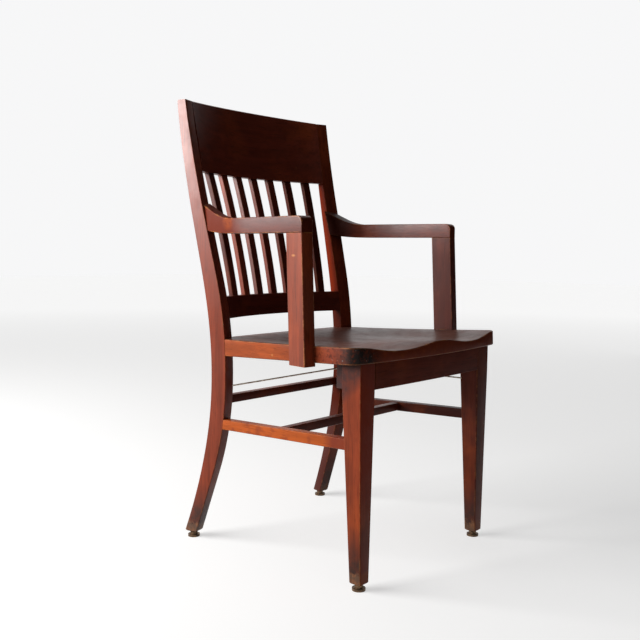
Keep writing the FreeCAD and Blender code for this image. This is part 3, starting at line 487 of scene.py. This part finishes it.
SEAT_FRONT = (-0.05, -0.20)
SEAT_FRONT_AREAS = (0.25, 0.6, 0.4, 0.9)
SEAT_FRONT_COLOUR = shade(STAIN, 0.85)
SEAT_LEFT = (-0.170, -0.215)
SEAT_PITS = (0.53, 0.60, 0, 0.75)
SEAT_PIT_COLOUR = shade(STAIN, 0.22)
SEAT_UP = (0.55, 0.90)
SEAT_TOP_CLOUDS = (0.3, 0.7)
SEAT_TOP_DARK = shade(SEAT_TOP, 0.7)
SEAT_TOP_PALE = shade(SEAT_TOP, 1.35)
SEAT_TOP_PORES = (0.5, 0.34, 0, 0.5)
SEAT_TOP_PORE_COLOUR = shade(SEAT_TOP, 0.4)
SEAT_CORNER_AT = (-0.222, -0.252, 0.420)
SEAT_CORNER_REACH = 0.055
SEAT_CORNER_AREAS = (0.30, 0.52)
SEAT_CORNER_COLOUR = shade(DARK_DIRT, 0.8)
SEAT_SPECKS = (0.66, 0.70)
SEAT_SPECKS_AT = (-0.225, -0.250, 0.420)
SEAT_SPECKS_REACH = 0.060
SEAT_SPECK_COLOUR = shade(SPECK, 0.5)
SEAT_SHINE = (0.05, 0.13, -0.05, 0.08)


def seat_wood(name, axis, seed):
    """Grimy top worn dull, orange sides and a dark, pitted front left corner."""
    thin, gain, gloss, rubbed = PIECES[name]
    looks = Wood(name, axis, seed, thin, gain)
    front = looks.span(looks.y, *SEAT_FRONT)
    worn_front = looks.times(front, looks.span(looks.wear, *SEAT_FRONT_AREAS))
    looks.cover(worn_front, SEAT_FRONT_COLOUR)
    pitted = looks.span(looks.noise(looks.at, *PIT), *SEAT_PITS)
    front_left = looks.times(front, looks.span(looks.x, *SEAT_LEFT))
    looks.cover(looks.times(front_left, pitted), SEAT_PIT_COLOUR)
    up = looks.facing(Z_AXIS, *SEAT_UP)
    top = looks.mix(looks.span(looks.cloud, *SEAT_TOP_CLOUDS), SEAT_TOP_DARK, SEAT_TOP_PALE)
    top = looks.mix(looks.span(looks.fibre, *SEAT_TOP_PORES), top, SEAT_TOP_PORE_COLOUR)
    looks.cover(up, top)
    corner = looks.near(looks.at, SEAT_CORNER_AT, SEAT_CORNER_REACH)
    patchy = looks.span(looks.wear, *SEAT_CORNER_AREAS)
    looks.cover(looks.times(corner, patchy), SEAT_CORNER_COLOUR)
    specks = looks.span(looks.noise(looks.at, *SEAT_SPECK), *SEAT_SPECKS)
    around = looks.near(looks.at, SEAT_SPECKS_AT, SEAT_SPECKS_REACH)
    looks.cover(looks.times(specks, around), SEAT_SPECK_COLOUR)
    # Dirt and painted shade where pieces meet
    looks.corners()
    looks.rub_edges(rubbed)
    looks.nicks()
    shine = looks.times(up, looks.span(looks.x, *SEAT_SHINE))
    return looks.finish(looks.math("ADD", gloss, shine))


TARNISH = (0.38, 0.62)
TARNISH_ROUGHER = 0.25
METAL_BUMP_STRENGTH = 0.15
METAL_BUMP_DEPTH = 0.0003


def metal(name, bright, tarnished, roughness):
    looks = Looks(name)
    spots = looks.noise(looks.place(), *METAL_SPOT)
    amount = looks.span(spots, *TARNISH)
    looks.set("Base Color", looks.mix(amount, shade(bright), shade(tarnished)))
    looks.set("Metallic", 1.0)
    looks.set("Roughness", looks.span(amount, 0, 1, roughness, roughness + TARNISH_ROUGHER))
    looks.bump(spots, METAL_BUMP_STRENGTH, METAL_BUMP_DEPTH)
    return looks.material


def look_of(name, seed):
    for start, values in METALS.items():
        if name.startswith(start):
            return metal(name, *values)
    axis = "x" if name.startswith(ALONG_X) else "y" if name.startswith(ALONG_Y) else "z"
    return seat_wood(name, axis, seed) if name == "seat" else frame_wood(name, axis, seed)


WELD_REACH = 0.00002
STEEP_ANGLE = math.radians(50)


def soften(piece):
    """Smooth shading that follows the large faces, so that eased edges catch light as rounds."""
    for face in piece.data.polygons:
        face.use_smooth = True
    weld = piece.modifiers.new("weld", "WELD")
    weld.merge_threshold = WELD_REACH
    steep = piece.modifiers.new("steep", "EDGE_SPLIT")
    steep.split_angle = STEEP_ANGLE
    steep.use_edge_sharp = False
    normals = piece.modifiers.new("normals", "WEIGHTED_NORMAL")
    normals.mode = "FACE_AREA"
    normals.keep_sharp = True


for number, name in enumerate(sorted(nodes)):
    piece = nodes[name]
    piece.data.materials.clear()
    piece.data.materials.append(look_of(name, number + 1))
    soften(piece)

# Studio: a pale floor, a window-like lamp at the left, a dim room and a dark screen at the right,
# in metres. The floor and the room look brighter than the light that they give.
WHITE = (1, 1, 1, 1)
FLOOR_SIZE = 30.0
FLOOR_COLOUR = (0.36, 0.357, 0.35, 1)
FLOOR_SEEN = (0.53, 0.527, 0.52, 1)
FLOOR_ROUGHNESS = 0.9
FLOOR_GLOSS = 0.1
FLOOR_NEAR = 1.2
FLOOR_FAR = 7.0
FLOOR_GLOW = 0.565
FAR_GLOW = 0.813
SCREEN_SIZE = 6.0
SCREEN_AT = (1.75, -1.65, 1.2)
SCREEN_TURN = (math.radians(90), 0, math.radians(49))
SCREEN_COLOUR = (0.02, 0.02, 0.02, 1)
ROOM_LIGHT = 0.14
WALL_COLOUR = (0.93, 0.93, 0.935, 1)
WALL_LIGHT = 1.0
WINDOW_AT = Vector((-2.1, 1.65, 1.45))
WINDOW_AIM = Vector((0, 0, 0.6))
WINDOW_WIDTH = 2.2
WINDOW_HEIGHT = 1.2
WINDOW_POWER = 122

# Camera, in metres in the part's own frame, radians and millimetres of film
CAMERA_AT = Vector((-1.34593, -1.12369, 0.59880))
CAMERA_YAW = math.radians(49.37)
CAMERA_PITCH = math.radians(4.68)
CAMERA_ROLL = math.radians(0.61)
CAMERA_LENS = 47.39
CAMERA_SENSOR = 36.0
CAMERA_SIGHT = 100


def seen_directly(tree):
    """One for rays from the camera, from mirrors and through glass."""
    rays = tree.nodes.new("ShaderNodeLightPath")
    total = rays.outputs["Is Camera Ray"]
    for name in ("Is Glossy Ray", "Is Transmission Ray"):
        node = tree.nodes.new("ShaderNodeMath")
        node.operation = "MAXIMUM"
        tree.links.new(total, node.inputs[0])
        tree.links.new(rays.outputs[name], node.inputs[1])
        total = node.outputs[0]
    return total


def plane(name, size, material):
    bpy.ops.mesh.primitive_plane_add(size=size)
    sheet = bpy.context.object
    sheet.name = name
    sheet.data.materials.append(material)
    return sheet


def add_floor():
    looks = Looks("floor")
    seen = seen_directly(looks.tree)
    looks.set("Base Color", looks.mix(seen, FLOOR_COLOUR, FLOOR_SEEN))
    looks.set("Roughness", FLOOR_ROUGHNESS)
    looks.set("Specular IOR Level", FLOOR_GLOSS)
    looks.set("Emission Color", WHITE)
    away = looks.add("ShaderNodeVectorMath", {0: looks.place()}, operation="LENGTH")
    glow = looks.span(away.outputs["Value"], FLOOR_NEAR, FLOOR_FAR, FLOOR_GLOW, FAR_GLOW)
    looks.set("Emission Strength", looks.times(seen, glow))
    plane("floor", FLOOR_SIZE, looks.material)


def add_screen():
    """A dark sheet that keeps light off the right side and isn't seen itself."""
    looks = Looks("screen")
    looks.set("Base Color", SCREEN_COLOUR)
    looks.set("Roughness", 1.0)
    looks.set("Specular IOR Level", 0.0)
    screen = plane("screen", SCREEN_SIZE, looks.material)
    screen.location = SCREEN_AT
    screen.rotation_euler = SCREEN_TURN
    screen.visible_camera = False


def add_room():
    """A room that gives dim light and is seen as a white wall."""
    world = bpy.data.worlds.new("room")
    world.use_nodes = True
    tree = world.node_tree
    dim = tree.nodes["Background"]
    wall = tree.nodes.new("ShaderNodeBackground")
    for node, colour, light in ((dim, WHITE, ROOM_LIGHT), (wall, WALL_COLOUR, WALL_LIGHT)):
        node.inputs["Color"].default_value = colour
        node.inputs["Strength"].default_value = light
    choose = tree.nodes.new("ShaderNodeMixShader")
    for number, source in enumerate((seen_directly(tree), dim.outputs[0], wall.outputs[0])):
        tree.links.new(source, choose.inputs[number])
    tree.links.new(choose.outputs[0], tree.nodes["World Output"].inputs["Surface"])
    scene.world = world


def add_window():
    light = bpy.data.lights.new("window", "AREA")
    light.shape = "RECTANGLE"
    light.size = WINDOW_WIDTH
    light.size_y = WINDOW_HEIGHT
    light.energy = WINDOW_POWER
    window = bpy.data.objects.new("window", light)
    scene.collection.objects.link(window)
    window.location = WINDOW_AT
    window.rotation_euler = (WINDOW_AIM - WINDOW_AT).to_track_quat("-Z", "Y").to_euler()


def add_camera():
    lens = bpy.data.cameras.new("camera")
    lens.sensor_width = CAMERA_SENSOR
    lens.lens = CAMERA_LENS
    lens.clip_end = CAMERA_SIGHT
    camera = bpy.data.objects.new("camera", lens)
    scene.collection.objects.link(camera)
    level = math.cos(CAMERA_PITCH)
    look = Vector((math.sin(CAMERA_YAW) * level, math.cos(CAMERA_YAW) * level,
                   -math.sin(CAMERA_PITCH)))
    right = Vector((math.cos(CAMERA_YAW), -math.sin(CAMERA_YAW), 0))
    over = right.cross(look)
    tilt_right = right * math.cos(CAMERA_ROLL) + over * math.sin(CAMERA_ROLL)
    tilt_up = over * math.cos(CAMERA_ROLL) - right * math.sin(CAMERA_ROLL)
    turn = Matrix((tilt_right, tilt_up, -look)).transposed()
    camera.matrix_world = Matrix.Translation(CAMERA_AT) @ turn.to_4x4()
    scene.camera = camera


add_floor()
add_screen()
add_room()
add_window()
add_camera()
